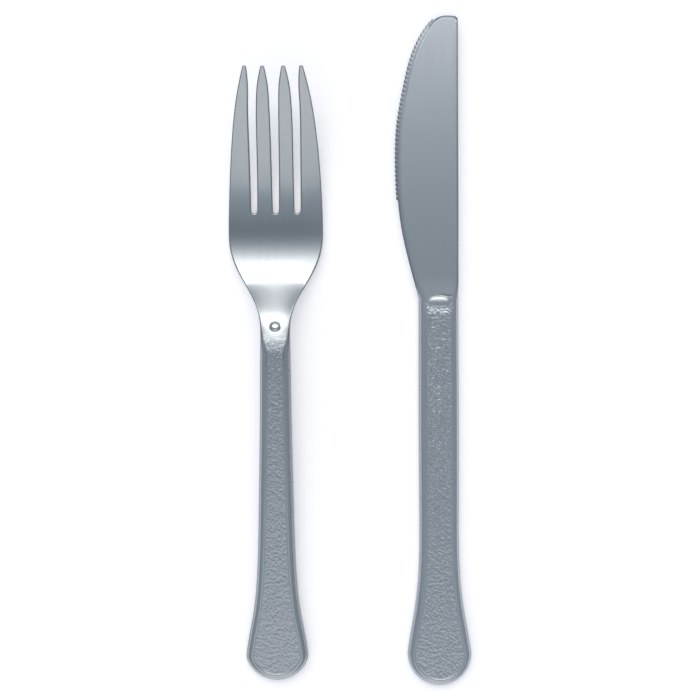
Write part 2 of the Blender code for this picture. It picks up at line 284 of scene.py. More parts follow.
# ---- finishes ----
@dataclass(frozen=True)
class PigmentedPlastic:
    """Silver-grey plastic with a fine metallic pigment, smooth but for a stippled panel."""

    name: str
    colour: tuple[float, float, float]
    metallic: float = 0.88
    roughness: float = 0.18
    panel_roughness: float = 0.24
    stipple_size: float = 0.35
    stipple_bump: float = 0.5
    bump_depth: float = 0.12
    streak: float = 0.05
    streak_size: float = 1.1
    streak_length: float = 20.0
    # share of the colour left under the painted shade on the side walls and in creases
    painted_shade_colour: float = 0.42

    def material(self) -> bpy.types.Material:
        """The finish as a node material.

        Returns:
            A new material. It reads the mesh attributes "panel", 1 on the stippled panel, and "wall", 1 on
            the side walls and in creases, where painted shade darkens the colour. Both are 0 elsewhere.
        """
        made = bpy.data.materials.new(self.name)
        made.use_nodes = True
        tree = made.node_tree
        shader = tree.nodes["Principled BSDF"]
        shader.inputs["Metallic"].default_value = self.metallic
        place = tree.nodes.new("ShaderNodeTexCoord").outputs["Object"]
        panel, wall = (tree.nodes.new("ShaderNodeAttribute") for _ in range(2))
        panel.attribute_name, wall.attribute_name = "panel", "wall"

        stretch = tree.nodes.new("ShaderNodeMapping")
        stretch.inputs["Scale"].default_value = (1.0, 1 / self.streak_length, 1.0)
        tree.links.new(place, stretch.inputs["Vector"])
        flow = self._noise(tree, stretch.outputs["Vector"], self.streak_size, detail=3.0)
        colour = tree.nodes.new("ShaderNodeMix")
        colour.data_type = "RGBA"
        for socket, share in ((6, 1 - self.streak), (7, 1 + self.streak)):
            colour.inputs[socket].default_value = (*(c * share for c in self.colour), 1)
        tree.links.new(flow, colour.inputs[0])
        # painted shade: darker colour on the side walls and in creases, where the "wall" attribute is 1
        painted_shade_mix = tree.nodes.new("ShaderNodeMix")
        painted_shade_mix.data_type = "RGBA"
        painted_shade_mix.inputs[7].default_value = (*(c * self.painted_shade_colour for c in self.colour), 1)
        tree.links.new(wall.outputs["Fac"], painted_shade_mix.inputs[0])
        tree.links.new(colour.outputs[2], painted_shade_mix.inputs[6])
        tree.links.new(painted_shade_mix.outputs[2], shader.inputs["Base Color"])

        rough = tree.nodes.new("ShaderNodeMapRange")
        rough.inputs["To Min"].default_value = self.roughness
        rough.inputs["To Max"].default_value = self.panel_roughness
        tree.links.new(panel.outputs["Fac"], rough.inputs["Value"])
        tree.links.new(rough.outputs["Result"], shader.inputs["Roughness"])

        grain = self._noise(tree, place, self.stipple_size, detail=2.0)
        masked = tree.nodes.new("ShaderNodeMath")
        masked.operation = "MULTIPLY"
        tree.links.new(grain, masked.inputs[0])
        tree.links.new(panel.outputs["Fac"], masked.inputs[1])
        stipple = tree.nodes.new("ShaderNodeBump")
        stipple.inputs["Strength"].default_value = self.stipple_bump
        stipple.inputs["Distance"].default_value = self.bump_depth * MM
        tree.links.new(masked.outputs["Value"], stipple.inputs["Height"])
        tree.links.new(stipple.outputs["Normal"], shader.inputs["Normal"])
        return made

    @staticmethod
    def _noise(
        tree: bpy.types.NodeTree, vector: bpy.types.NodeSocket, size: float, detail: float
    ) -> bpy.types.NodeSocket:
        """Noise of a grain size.

        Args:
            tree: node tree that takes the node.
            vector: coordinates, in metres.
            size: size of a grain, in millimetres.
            detail: number of finer layers.

        Returns:
            The noise's value socket.
        """
        node = tree.nodes.new("ShaderNodeTexNoise")
        node.inputs["Scale"].default_value = 1 / (size * MM)
        node.inputs["Detail"].default_value = detail
        tree.links.new(vector, node.inputs["Vector"])
        return node.outputs["Fac"]


@dataclass(frozen=True)
class TableTop:
    """Matt white table top."""

    name: str = "white_table"
    colour: tuple[float, float, float] = (0.9, 0.9, 0.9)
    # the table glows faintly: painted light that keeps it white and lifts the shadows on it
    glow: tuple[float, float, float] = (0.93, 0.92, 1.0)
    glow_strength: float = 0.36
    roughness: float = 0.9
    specular: float = 0.1

    def material(self) -> bpy.types.Material:
        """The finish as a node material."""
        made = bpy.data.materials.new(self.name)
        made.use_nodes = True
        tree = made.node_tree
        shader = tree.nodes["Principled BSDF"]
        shader.inputs["Base Color"].default_value = (*self.colour, 1)
        shader.inputs["Roughness"].default_value = self.roughness
        shader.inputs["Specular IOR Level"].default_value = self.specular
        shader.inputs["Emission Color"].default_value = (*self.glow, 1)
        shader.inputs["Emission Strength"].default_value = self.glow_strength
        return made


# ---- mouldings ----
@dataclass
class Moulding:
    """One moulded piece of cutlery with a channel handle: the sizes and steps that both pieces share."""

    node: str
    slot: str
    finish: PigmentedPlastic
    turn: float
    boss: Boss
    web: float = 1.6
    rim: float = 1.3
    draft: float = 0.15
    back_inset: float = 2.32    # where the face of the hollow back starts
    shoulder_width: float = 2.0
    shoulder_drop: float = 2.3
    panel_step: float = 0.1
    # how far in from the outline the painted shade of the walls reaches
    painted_shade_reach: float = 0.9
    painted_shade_full: float = 0.03    # inset up to which the walls get the full painted shade
    side_spacing: float = 0.45
    panel_spacing: float = 0.2
    plain_spacing: float = 0.7
    boss_clearance: float = 1.12    # in radii of the boss
    stipple_cell: float = 0.7
    stipple_height: float = 0.12
    stipple_loss: float = 0.0    # share lost towards the head
    stipple_fade: tuple[float, float] = (0.0, 1.0)
    panel_fade: tuple[float, float] = (-0.25, 0.1)    # from the panel's end

    # what each piece gives
    def outline(self) -> Outline:
        """Plan outline of the piece."""
        raise NotImplementedError

    def surface(self, x: np.ndarray, y: np.ndarray) -> np.ndarray:
        """Height of the top, before its edges are rounded and its details stand up."""
        raise NotImplementedError

    def depth(self, y: np.ndarray) -> np.ndarray:
        """Distance from the top to the underside, or to the rim of the handle."""
        raise NotImplementedError

    def hollow(self, y: np.ndarray) -> np.ndarray:
        """Height of the hollow back above the rim."""
        raise NotImplementedError

    def panel(self, x: np.ndarray, y: np.ndarray) -> np.ndarray:
        """Share of the stippled panel, 1 on it and 0 beyond its end."""
        raise NotImplementedError

    def upper_rows(self, line: Outline) -> list[tuple[np.ndarray, np.ndarray]]:
        """Rows of the top, from the face outwards.

        Args:
            line: outline of the piece.

        Returns:
            For each row, the inset of each point and how far it is below the surface.
        """
        raise NotImplementedError

    def lower_rows(self, line: Outline) -> list[tuple[np.ndarray, np.ndarray]]:
        """Rows of the underside, from the outline inwards.

        Args:
            line: outline of the piece.

        Returns:
            For each row, the inset of each point and how far it is above the rim or underside.
        """
        raise NotImplementedError

    def stipple(self, x: np.ndarray, y: np.ndarray) -> np.ndarray:
        """Height of the moulded stipple: low grains of uneven size, shallower towards the head."""
        cell = self.stipple_cell
        grain = [noise.voronoi((a / cell, b / cell, 0))[0][0] for a, b in zip(x, y)]
        height = self.stipple_height * (0.5 - np.array(grain)) * self.panel(x, y)
        return height * (1 - self.stipple_loss * fade(*self.stipple_fade, y))

    def grid(self, loop: np.ndarray, spacing: float) -> np.ndarray:
        """Plan points in rows and columns inside a loop."""
        low, high = loop.min(axis=0), loop.max(axis=0)
        across = (np.arange(int((high[0] - low[0]) / spacing) + 1) + 0.5) * spacing + low[0]
        along = (np.arange(int((high[1] - low[1]) / spacing) + 1) + 0.5) * spacing + low[1]
        points = np.stack(np.meshgrid(across, along), axis=-1).reshape(-1, 2)
        return points[inside(loop, points)]

    def line_points(self) -> np.ndarray:
        """Further plan points of the top, along its creases."""
        return np.zeros((0, 2))

    def sunk(self, x: np.ndarray, y: np.ndarray) -> np.ndarray:
        """Share of the step down to the panel."""
        return self.panel(x, y)

    def crease(self, x: np.ndarray, y: np.ndarray) -> np.ndarray:
        """Share of a crease in the top, which is also darkened with painted shade."""
        return np.zeros(len(x))

    def painted_shade_width(self, y: np.ndarray) -> np.ndarray:
        """How far in from the outline the painted shade on the walls reaches."""
        return np.full(len(y), self.painted_shade_reach)

    def face_points(self, loop: np.ndarray, face: Face) -> np.ndarray:
        """Plan points for a face: fine on the stippled panel, in ovals over the boss, and wider elsewhere.

        Args:
            loop: inner row of points round the face.
            face: which face it is.

        Returns:
            The points inside the loop, without the loop's own.
        """
        plain = clear_of(loop, self.grid(loop, self.plain_spacing), self.plain_spacing * PLAIN_OFF_LOOP)
        if face is Face.UNDERSIDE:
            return plain
        fine = clear_of(loop, self.grid(loop, self.panel_spacing), self.panel_spacing * FINE_OFF_LOOP)
        fine = fine[self.panel(*fine.T) > LEAST_PANEL]
        plain = plain[self.panel(*plain.T) <= LEAST_PANEL]
        lines = self.line_points()
        if len(lines):
            lines = clear_of(loop, lines[inside(loop, lines)], LINE_OFF_LOOP)
            lines = lines[self.boss.radius(*lines.T) > self.boss_clearance]
        fine = np.concatenate([lines, fine[self.boss.radius(*fine.T) > self.boss_clearance]])
        plain = plain[self.boss.radius(*plain.T) > self.boss_clearance]
        plain = clear_of(fine, plain, self.plain_spacing * PLAIN_OFF_FINE)
        return np.concatenate([fine, plain, self.boss.points()])

    def build(self) -> bpy.types.Object:
        """Make the piece, where its node is in the frame.

        Returns:
            The dressed object. It rides on the root body and stands for the node.
        """
        line = self.outline()
        rows = []
        panel = []
        wall = []
        for inset, drop in self.upper_rows(line):
            plan = line.inset(inset)
            x, y = plan.T
            rows.append(np.column_stack([plan, self.surface(x, y) - drop]))
            panel.append(np.zeros(len(x)))
            # painted shade on the top's outer rows, full at the outline and gone past its reach
            wall.append(1 - fade(self.painted_shade_full, self.painted_shade_width(line.points[:, 1]), inset))
        panel[0] = self.panel(*rows[0][:, :2].T)
        for inset, lift in self.lower_rows(line):
            plan = line.inset(inset)
            x, y = plan.T
            rows.append(np.column_stack([plan, self.surface(x, y) - self.depth(y) + lift]))
            panel.append(np.zeros(len(x)))
            # painted shade on all of the walls' and rim's rows
            wall.append(np.ones(len(x)))
        count = len(line.points)
        faces = []
        for row in range(len(rows) - 1):
            for i in range(count):
                a, b = row * count + i, row * count + (i + 1) % count
                faces.append((a, a + count, b + count, b))

        vertices = [*rows]
        total = count * len(rows)
        for face, first in ((Face.TOP, 0), (Face.UNDERSIDE, total - count)):
            loop = rows[0 if face is Face.TOP else -1][:, :2]
            plan, triangles = fill(loop, self.face_points(loop, face))
            x, y = plan[count:].T
            if face is Face.TOP:
                z = self.surface(x, y) + self.boss.height(x, y) + self.stipple(x, y)
                z = z - self.panel_step * self.sunk(x, y)
                share = self.panel(x, y)
            else:
                z = self.surface(x, y) - self.depth(y) + self.hollow(y)
                share = np.zeros(len(x))
            vertices.append(np.column_stack([x, y, z]))
            panel.append(share)
            # painted shade in the crease on top, none on the underside's face
            wall.append(self.crease(x, y) if face is Face.TOP else np.zeros(len(x)))
            index = np.where(triangles < count, triangles + first, triangles - count + total)
            faces.extend(map(tuple, (index if face is Face.TOP else index[:, ::-1]).tolist()))
            total += len(x)
        shares = {"panel": np.concatenate(panel), "wall": np.concatenate(wall)}
        return self._object(np.concatenate(vertices), faces, shares)

    def _object(
        self, vertices: np.ndarray, faces: list[tuple[int, ...]], shares: dict[str, np.ndarray]
    ) -> bpy.types.Object:
        """Turn and place the points in the node's box, and dress the mesh.

        Args:
            vertices: points of the mesh, in the piece's own frame.
            faces: indices of each face's points.
            shares: for each mesh attribute that the finish reads, its value at each point.

        Returns:
            The finished object.
        """
        c, s = math.cos(self.turn), math.sin(self.turn)
        vertices = vertices @ np.array([[c, s, 0], [-s, c, 0], [0, 0, 1]])
        vertices *= MM
        low, high = (np.array(corner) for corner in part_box(self.node))
        own_low, own_high = vertices.min(axis=0), vertices.max(axis=0)
        move = (low + high - own_low - own_high) / 2
        move[2] = low[2] - own_low[2]
        vertices += move
        mesh = bpy.data.meshes.new(self.node + "_moulding")
        mesh.from_pydata(vertices.tolist(), [], faces)
        mesh.validate()
        mesh.shade_smooth()
        for name, share in shares.items():
            mesh.attributes.new(name, "FLOAT", "POINT").data.foreach_set("value", share.astype(np.float32))
        mesh.materials.append(self.finish.material())
        piece = bpy.data.objects.new(self.node + "_moulding", mesh)
        bpy.context.scene.collection.objects.link(piece)
        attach(piece, "root")
        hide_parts(self.node)
        past = np.maximum(low - own_low - move, own_high + move - high) / MM
        LOG.info("%s: %d points, past its box by %s mm", piece.name, len(vertices), past)
        return piece

    def handle_upper(self, steps: int = 10) -> list[tuple[float, float]]:
        """Section of the handle's top edge, from the panel outwards.

        Args:
            steps: steps round the shoulder.

        Returns:
            (inset, drop) pairs: the step down to the panel, then the rounded shoulder.
        """
        step = self.panel_step
        inner = [(0.32, step), (0.17, step * 1.25), (0.08, step * 0.5)]
        section = [(self.shoulder_width + inset, drop) for inset, drop in inner]
        for angle in np.radians(np.linspace(90, 0, steps)):
            inset = self.shoulder_width * (1 - math.cos(angle))
            section.append((inset, self.shoulder_drop * (1 - math.sin(angle))))
        return section

    def handle_lower(self) -> list[tuple[float, float, bool]]:
        """Section of the handle's wall, from the outline round the rim and up into the hollow back.

        Returns:
            (inset, lift, within) for each row. Within the hollow back, the lift is a share of its height.
        """
        wall = self.rim - self.draft
        outside = [(0, 0.9), (0, 0.16), (0.05, 0.05), (0.16, 0), (wall - 0.08, 0)]
        root = [(self.rim - 0.03, 0.8), (self.rim + 0.07, 0.97), (self.rim + 0.25, 1)]
        within = [(wall, 0.04), *root, (self.back_inset, 1)]
        return [(*row, False) for row in outside] + [(*row, True) for row in within]


@dataclass
class Fork(Moulding):
    """The fork: an S-curve in side view, with a dished head and four tines."""

    end: float = -95.1
    length: float = 174.2
    end_radius: float = 9.43
    corner: float = 73.0
    end_steps: int = 27
    side_start: float = -88.3
    blend_below: float = -80.0    # smoothed into the round end
    rise: Knots = ((-95.1, 4.2), (-62.0, 6.15), (-28.0, 8.25), (-10.0, 9.2), (-1.9, 9.34), (4.65, 8.64),
                   (10.4, 7.24), (16.6, 4.92), (22.1, 3.22), (28.2, 2.235), (35.0, 1.9), (46.0, 3.1),
                   (60.0, 7.3), (79.1, 15.8))
    width: Knots = ((-88.3, 9.02), (-83.3, 8.28), (-76.0, 6.92), (-63.0, 5.62), (-46.0, 5.07), (-12.0, 4.47),
                    (2.0, 4.27), (9.6, 4.62), (15.4, 6.85), (21.2, 10.2), (28.5, 13.1), (36.0, 13.58),
                    (48.5, 13.1), (64.7, 11.57), (72.4, 10.2), (78.4, 8.62))
    thickness: Knots = ((-95.1, 4.2), (-5.0, 4.0), (10.0, 3.1), (24.0, 1.9), (50.0, 1.9), (79.1, 1.2))
    dish: float = 0.9    # rise of the head's sides
    dish_start: tuple[float, float] = (8.0, 26.0)
    dish_loss: float = 0.45
    dish_loss_start: float = 40.0
    neck_dish: float = 0.6    # the same on the neck
    neck_half: float = 5.0
    neck_start: tuple[float, float] = (3.0, 10.0)
    neck_end: tuple[float, float] = (12.0, 19.0)
    head_half: float = 13.58
    head_shoulder: float = 0.45
    head_start: tuple[float, float] = (-2.0, 22.0)
    # on the head, how far in the painted shade of the walls reaches
    head_painted_shade_reach: float = 0.34
    head_lift: float = 0.7    # of the wall's height, on the head
    head_inner: float = 0.25    # of the innermost rows' spacing
    slot_pitch: float = 6.25
    slot_root: float = 39.4
    slot_half: float = 0.9
    middle_slot: Knots = ((40.3, 0.9), (47.0, 1.0), (56.0, 1.07), (64.7, 1.16), (69.9, 1.27), (75.0, 1.6),
                          (78.5, 2.28))
    outer_slot: Knots = ((40.3, 0.9), (47.0, 0.97), (56.0, 1.02), (64.7, 1.06), (69.9, 1.1), (75.0, 1.3),
                         (78.5, 1.86))
    drift: Knots = ((40.3, 0.0), (57.0, 0.0), (69.9, 0.15), (75.0, 0.5), (79.1, 0.85))
    tip_radius: float = 0.6
    tip_loss: float = 0.25    # of each inset, round the tips
    tip_taper: tuple[float, float] = (-2.5, -0.8)    # before the tips
    hollow_end: tuple[float, float] = (4.0, 13.0)
    neck_edge: tuple[float, float] = (-2.5, 7.0)
    panel_end: float = 4.9
    panel_fade: tuple[float, float] = (-3.0, 0.3)
    panel_step_end: tuple[float, float] = (-6.0, 0.0)
    stipple_loss: float = 0.65
    stipple_fade: tuple[float, float] = (-6.0, 2.0)

    @property
    def tip(self) -> float:
        """Where the tines end."""
        return self.end + self.length

    def to_head(self, y: np.ndarray) -> np.ndarray:
        """Share of the head's section, from 0 on the handle to 1 on the head."""
        return fade(*self.head_start, y)

    def surface(self, x: np.ndarray, y: np.ndarray) -> np.ndarray:
        """Height of the top: the S-curve along, with the dish of the neck and of the head across."""
        loss = self.dish_loss * fade(self.dish_loss_start, self.tip, y)
        dish = self.dish * fade(*self.dish_start, y) * (1 - loss)
        neck = self.neck_dish * fade(*self.neck_start, y) * (1 - fade(*self.neck_end, y))
        return spline(self.rise, y) + dish * (x / self.head_half) ** 2 + neck * (x / self.neck_half) ** 2

    def depth(self, y: np.ndarray) -> np.ndarray:
        """Thickness of the fork along its length."""
        return spline(self.thickness, y)

    def hollow(self, y: np.ndarray) -> np.ndarray:
        """Height of the hollow back, which runs out under the neck."""
        return (self.depth(y) - self.web) * (1 - fade(*self.hollow_end, y))

    def panel(self, x: np.ndarray, y: np.ndarray) -> np.ndarray:
        """Share of the stippled panel, which ends softly below the boss."""
        return 1 - fade(*self.panel_fade, y - self.panel_end)

    def sunk(self, x: np.ndarray, y: np.ndarray) -> np.ndarray:
        """Share of the step down to the panel, which runs out before the stipple does."""
        return 1 - fade(*self.panel_step_end, y)

    def painted_shade_width(self, y: np.ndarray) -> np.ndarray:
        """How far in from the outline the painted shade on the walls reaches, less on the head."""
        return mix(self.painted_shade_reach, self.head_painted_shade_reach, self.to_head(y))

    def half_width(self, y: np.ndarray) -> np.ndarray:
        """Half width along the sides, up to where the tips are rounded."""
        return spline(self.width, np.minimum(y, self.tip - self.tip_radius))

    def _tip_angles(self) -> np.ndarray:
        """Angles of the points round half of a tine's tip."""
        return np.radians(np.linspace(0, 90, 8))[1:]

    def half_outline(self) -> np.ndarray:
        """Right side of the outline, from the middle of the handle's end to the tip of the outer tine."""
        end = end_arc(self.end, self.end_radius, self.corner, self.end_steps)
        straight = self.tip - self.tip_radius
        y = stations(self.side_start, straight, self.side_spacing)
        side = np.stack([self.half_width(y), y], axis=1)
        handle = np.concatenate([end, side])
        for _ in range(3):
            smooth = (handle[:-2] + 2 * handle[1:-1] + handle[2:]) / 4
            low = handle[1:-1, 1] < self.blend_below
            handle[1:-1][low] = smooth[low]
        angles = self._tip_angles()
        x = self.half_width(np.array(straight)) - self.tip_radius * (1 - np.cos(angles))
        tip = np.stack([x, straight + self.tip_radius * np.sin(angles)], axis=1)
        return np.concatenate([handle, tip])

    def slot_outline(self, place: int) -> np.ndarray:
        """Edge of a slot, from its right tip down round the root and up to its left tip.

        Args:
            place: -1, 0 or 1 for the left, middle or right slot.

        Returns:
            Plan points of the slot's edge.
        """
        flare = self.outer_slot if place else self.middle_slot
        root = self.slot_root + self.slot_half
        straight = self.tip - self.tip_radius
        y = stations(root, straight, self.side_spacing)
        half = spline(flare, y)
        angles = self._tip_angles()
        y_tip = straight + self.tip_radius * np.sin(angles)
        y = np.concatenate([y, y_tip])
        half = np.concatenate([half, half[-1] + self.tip_radius * (1 - np.cos(angles))])
        middle = place * self.slot_pitch - place * spline(self.drift, y)
        right = np.stack([middle + half, y], axis=1)[::-1]
        left = np.stack([middle - half, y], axis=1)
        around = np.radians(np.linspace(0, -180, 19)[1:-1])
        arc = np.stack([place * self.slot_pitch + self.slot_half * np.cos(around),
                        root + self.slot_half * np.sin(around)], axis=1)
        return np.concatenate([right, arc, left])

    def outline(self) -> Outline:
        """Outline of the handle, head and tines."""
        right = self.half_outline()
        left = right[:0:-1] * (-1, 1)
        slots = [self.slot_outline(place) for place in (1, 0, -1)]
        return Outline.of(np.concatenate([right, *slots, left]))

    def squeeze(self, line: Outline) -> np.ndarray:
        """Share of each inset that is left round the narrow tips of the tines."""
        return 1 - self.tip_loss * fade(*self.tip_taper, line.points[:, 1] - self.tip)

    def upper_rows(self, line: Outline) -> list[tuple[np.ndarray, np.ndarray]]:
        """Rows of the top edge: the handle's shoulder turns into the narrow edge of the head."""
        share = fade(*self.neck_edge, line.points[:, 1])
        across = self.head_shoulder / self.shoulder_width
        down = self.head_shoulder / self.shoulder_drop
        on_panel = self.sunk(*line.points.T)
        rows = []
        for inset, drop in self.handle_upper():
            inner = max(inset - self.shoulder_width, 0)
            edge = min(inset, self.shoulder_width)
            inset_here = edge * mix(1, across, share) + inner * mix(1, self.head_inner, share)
            drop_here = drop * on_panel if inner else drop * mix(1, down, share)
            rows.append((inset_here * self.squeeze(line), drop_here))
        return rows

    def lower_rows(self, line: Outline) -> list[tuple[np.ndarray, np.ndarray]]:
        """Rows of the underside: the rim and the hollow back, and a plain flat back on the head."""
        y = line.points[:, 1]
        share = self.to_head(y)
        hollow = self.hollow(y)
        flat = (0, 0, 0.06, 0.16, 0.25, 0.3, 0.35, 0.4, 0.45, 0.53)
        rows = []
        for (inset, lift, within), plain in zip(self.handle_lower(), flat):
            height = hollow if within else mix(1, self.head_lift, share)
            rows.append((mix(inset, plain, share) * self.squeeze(line), lift * height))
        return rows


@dataclass
class Knife(Moulding):
    """The table knife: a flat channel handle, a bolster and a thin blade with a toothed edge."""

    end: float = -96.6
    end_radius: float = 9.2
    end_steps: int = 31
    side_start: float = -87.4
    handle_depth: float = 4.2
    width: Knots = ((-87.4, 9.2), (-83.5, 8.62), (-76.2, 7.35), (-67.6, 6.25), (-58.0, 5.75), (-45.0, 5.72),
                    (15.4, 5.72))
    edge: Knots = ((-5.9, 15.4), (-9.35, 28.5), (-11.15, 38.0), (-11.8, 45.0), (-12.1, 55.0), (-11.5, 65.9),
                   (-9.95, 74.5), (-7.9, 83.2), (-5.6, 88.9), (-3.45, 92.4), (-1.5, 94.6), (-0.55, 95.3),
                   (0.6, 95.85), (1.85, 96.1), (3.4, 96.1), (4.5, 96.0))
    spine_x: float = 5.7
    blade_tip: float = 96.1
    tip_corner: float = 1.2
    corner_below: float = 0.1    # from its circle to the blade's end
    bolster_y: float = 15.4
    hollow_run: float = 0.5
    blade_top: float = 3.95
    blade_thick: float = 1.5
    edge_thick: float = 0.5
    rib: float = 1.05
    rib_stands: float = 0.2
    rib_loss: float = 0.7    # of the rib's height, towards the tip
    rib_fade: tuple[float, float] = (22.0, 42.0)
    spine_from: float = 5.0
    spine_round: float = 0.3
    nose: tuple[float, float] = (91.5, 94.5)
    nose_right_of: float = -3.0
    nose_loss: float = 0.3    # of each inset, round the nose
    teeth_start: float = 42.9
    tooth_pitch: float = 1.3
    tooth_depth: float = 0.42
    teeth_stand: float = 0.12
    tooth_inset: float = 0.75    # how far in the teeth reach
    teeth_left_of: float = -1.3
    teeth_facing: float = 0.2    # least X of the inward direction
    panel_end: float = 12.2
    panel_sag: float = 1.05
    throat_start: float = 9.3
    throat_dip: float = 0.22
    throat_half: tuple[float, float] = (3.4, 5.0)    # where the dip runs out, on each side
    throat_foot: float = 0.35    # how far past the panel's end the dip is gone
    panel_half: float = 3.8
    stipple_loss: float = 0.3
    stipple_fade: tuple[float, float] = (0.0, 9.0)
    blade_start: tuple[float, float] = (13.0, 20.4)
    face_start: tuple[float, float] = (11.6, 21.6)
    line_half: float = 5.4
    line_spacing: float = 0.22
    crease_y: float = 15.95
    crease_lean: float = 0.15
    crease_start: tuple[float, float] = (0.3, 1.2)
    crease_end: tuple[float, float] = (4.6, 5.2)
    crease_width: float = 0.24
    crease_depth: float = 0.03

    def to_blade(self, y: np.ndarray) -> np.ndarray:
        """Share of the blade's section, from 0 on the handle to 1 on the blade."""
        return fade(*self.blade_start, y)

    def face_step(self, y: np.ndarray) -> np.ndarray:
        """Share of the drop to the blade's face."""
        return fade(*self.face_start, y)

    def crease(self, x: np.ndarray, y: np.ndarray) -> np.ndarray:
        """Share of the short crease between the boss and the spine, which is also darkened with painted
        shade.
        """
        across = (y - self.crease_y + self.crease_lean * x) / self.crease_width
        return np.exp(-across * across) * fade(*self.crease_start, x) * (1 - fade(*self.crease_end, x))

    def panel_line(self, x: np.ndarray) -> np.ndarray:
        """Where the stippled panel ends, curved round the boss."""
        return self.panel_end + self.panel_sag * (x / self.panel_half) ** 2

    def surface(self, x: np.ndarray, y: np.ndarray) -> np.ndarray:
        """Height of the top: a flat handle that dips to the bolster, and a lower flat blade."""
        line = self.panel_line(x)
        dip = self.throat_dip * np.clip((y - self.throat_start) / (line - self.throat_start), 0, 1) ** 2
        dip = dip * (1 - fade(line, line + self.throat_foot, y)) * (1 - fade(*self.throat_half, np.abs(x)))
        top = mix(self.handle_depth - dip, self.blade_top, self.face_step(y))
        return top - self.crease_depth * self.crease(x, y)

    def depth(self, y: np.ndarray) -> np.ndarray:
        """Thickness: down to the rim on the handle, and of the thin blade beyond the bolster."""
        return mix(self.handle_depth, self.blade_thick, self.to_blade(y))

    def hollow(self, y: np.ndarray) -> np.ndarray:
        """Height of the hollow back, which ends at the bolster."""
        end = self.bolster_y - self.rim
        return (self.handle_depth - self.web) * (1 - fade(end - self.hollow_run, end, y))

    def panel(self, x: np.ndarray, y: np.ndarray) -> np.ndarray:
        """Share of the stippled panel, whose end is curved round the bolster's boss."""
        return 1 - fade(*self.panel_fade, y - self.panel_line(x))

    def line_points(self) -> np.ndarray:
        """Plan points along the crease and on either side of it."""
        across = stations(-self.line_half, self.line_half, self.line_spacing)
        offsets = (-1.6, -1.2, -0.8, -0.45, -0.2, -0.1, -0.05, 0, 0.05, 0.1, 0.2, 0.45, 0.8, 1.2, 1.6, 2.0)
        middle = self.crease_y - self.crease_lean * across
        rows = [np.stack([across, middle + offset], axis=1) for offset in offsets]
        return np.concatenate(rows)

    def teeth(self, along: np.ndarray) -> np.ndarray:
        """How far the toothed edge stands out, by the distance along it from the first tooth."""
        phase = (along / self.tooth_pitch) % 1
        tooth = np.sqrt(np.clip(1 - np.abs(2 * phase - 1), 0, 1))
        return self.teeth_stand + self.tooth_depth * tooth

    def outline(self) -> Outline:
        """Outline of the handle and blade, before the teeth stand out."""
        end = end_arc(self.end, self.end_radius, 90, self.end_steps)
        y = stations(self.side_start, self.bolster_y, self.side_spacing)
        side = np.stack([spline(self.width, y), y], axis=1)
        handle = np.concatenate([end, side])
        top = self.blade_tip - self.corner_below - self.tip_corner
        y = stations(self.bolster_y, top, self.side_spacing * 1.5)[1:]
        spine = np.stack([np.full(len(y), self.spine_x), y], axis=1)
        angles = np.radians(np.linspace(0, 75, 9)[1:])
        arc = self.tip_corner * np.stack([np.cos(angles), np.sin(angles)], axis=1)
        corner = arc + (self.spine_x - self.tip_corner, top)
        edge = curve_through(self.edge, self.tooth_pitch / 8)[::-1]
        edge[:, 1] = np.minimum(edge[:, 1], self.blade_tip)
        left = handle[::-1][1:-1] * (-1, 1)
        return Outline.of(np.concatenate([handle, spine, corner, edge[1:], left]))

    def _along_edge(self, line: Outline) -> tuple[np.ndarray, np.ndarray]:
        """Where the teeth are.

        Args:
            line: outline of the knife.

        Returns:
            For each point, its distance along the edge from the first tooth, and whether it has teeth.
        """
        x, y = line.points.T
        toothed = (y > self.teeth_start) & (x < self.teeth_left_of) & (line.inwards[:, 0] > self.teeth_facing)
        step = np.linalg.norm(np.roll(line.points, -1, axis=0) - line.points, axis=1)
        along = np.cumsum(step * toothed)
        return along[toothed].max() - along, toothed

    def upper_rows(self, line: Outline) -> list[tuple[np.ndarray, np.ndarray]]:
        """Rows of the top edge: the handle's shoulder, and the blade's bevel or the rib on its spine."""
        x, y = line.points.T
        share = self.to_blade(y)
        teeth, spine, squeeze = self._edge_parts(line)
        stand = self.rib_stands * (1 - self.rib_loss * fade(*self.rib_fade, y))
        rows = []
        for (inset, drop), (on_edge, fall, on_spine, rise) in zip(self.handle_upper(), self._blade_section()):
            there = np.where(spine, on_spine, on_edge) * squeeze
            drop_there = np.where(spine, rise * -stand, fall * self.bevel)
            drop_here = drop * np.where(inset > self.shoulder_width, self.panel(x * 0.6, y), 1)
            out = teeth * (1 - fade(0, self.tooth_inset, on_edge))
            rows.append((mix(inset, there - out, share), mix(drop_here, drop_there, share)))
        return rows

    @property
    def bevel(self) -> float:
        """Height of the bevel on each side of the cutting edge."""
        return (self.blade_thick - self.edge_thick) / 2

    def _edge_parts(self, line: Outline) -> tuple[np.ndarray, np.ndarray, np.ndarray]:
        """How the rows of the blade change along its outline.

        Args:
            line: outline of the knife.

        Returns:
            For each point, how far the teeth stand out, whether it is on the spine, and the share of each
            inset that is left.
        """
        x, y = line.points.T
        along, toothed = self._along_edge(line)
        teeth = np.where(toothed, self.teeth(along), 0)
        spine = (x > self.spine_from) & (y < self.blade_tip - self.tip_corner)
        squeeze = 1 - self.nose_loss * fade(*self.nose, y) * (x > self.nose_right_of)
        return teeth, spine, squeeze

    def _blade_section(self) -> list[tuple[float, float, float, float]]:
        """Sections of the blade, from its face outwards.

        Returns:
            Inset and fall on the cutting edge, and inset and rise on the spine, for each row.
        """
        edge = ((1.35, 0), (1.22, 0), (1.12, 0.03), (1.06, 0.1), (0.95, 0.2), (0.8, 0.32), (0.65, 0.44),
                (0.5, 0.57), (0.38, 0.68), (0.26, 0.78), (0.16, 0.86), (0.07, 0.94), (0, 1.0))
        spine = ((1.35, 0), (1.2, 0), (1.1, 0.12), (1.0, 0.75), (0.92, 1), (0.8, 1), (0.6, 1),
                 (0.4, 1), (0.28, 0.95), (0.18, 0.7), (0.1, 0.2), (0.04, -0.6), (0, -1.8))
        return [(*a, *b) for a, b in zip(edge, spine)]

